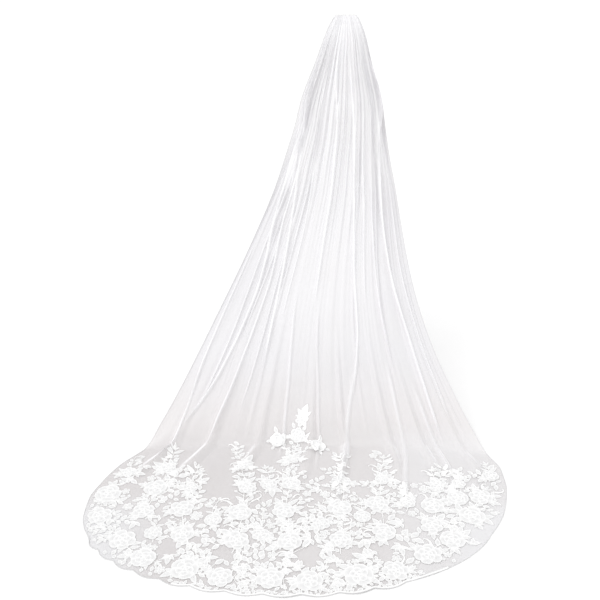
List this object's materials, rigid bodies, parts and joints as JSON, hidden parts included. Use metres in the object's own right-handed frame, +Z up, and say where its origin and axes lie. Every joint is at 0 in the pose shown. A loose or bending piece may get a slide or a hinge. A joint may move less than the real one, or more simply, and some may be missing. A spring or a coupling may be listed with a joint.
{
  "type": "bridal veil on a hair comb",
  "caption": "Long one-tier bridal veil: soft tulle gathered into a hair comb, hanging open down the back and out into a rounded train edged with corded floral lace sprays.",
  "frame": {"origin": "middle of the comb's spine, where the wearer's hair holds it, 1.66 m above the floor that the train lies on", "axes": "+Z up, the wearer faces +Y, the train runs out along -Y, +X is the wearer's right as seen from behind"},
  "size_m": [1.599, 1.6322, 1.6628],
  "materials": {
    "tulle": "sheer soft net with a faint sheen",
    "lace": "matt corded lace applique",
    "tape": "satin",
    "comb": "clear moulded plastic"
  },
  "bodies": {
    "root": {"tulle_panel": "tulle", "gathering_tape": "tape", "hair_comb": "comb", "lace_hem_1": "lace", "lace_hem_2": "lace", "lace_hem_3": "lace", "lace_hem_4": "lace", "lace_hem_5": "lace", "lace_hem_6": "lace", "lace_hem_7": "lace", "lace_tall_1": "lace", "lace_tall_2": "lace", "lace_tall_3": "lace", "lace_tall_4": "lace", "lace_tall_5": "lace", "lace_tall_6": "lace", "lace_tall_7": "lace", "lace_tall_8": "lace", "lace_edge_left": "lace", "lace_edge_right": "lace", "lace_posy_1": "lace", "lace_posy_2": "lace", "lace_posy_3": "lace", "lace_posy_4": "lace", "lace_posy_5": "lace", "lace_posy_6": "lace", "lace_posy_7": "lace"}
  },
  "joints": []
}
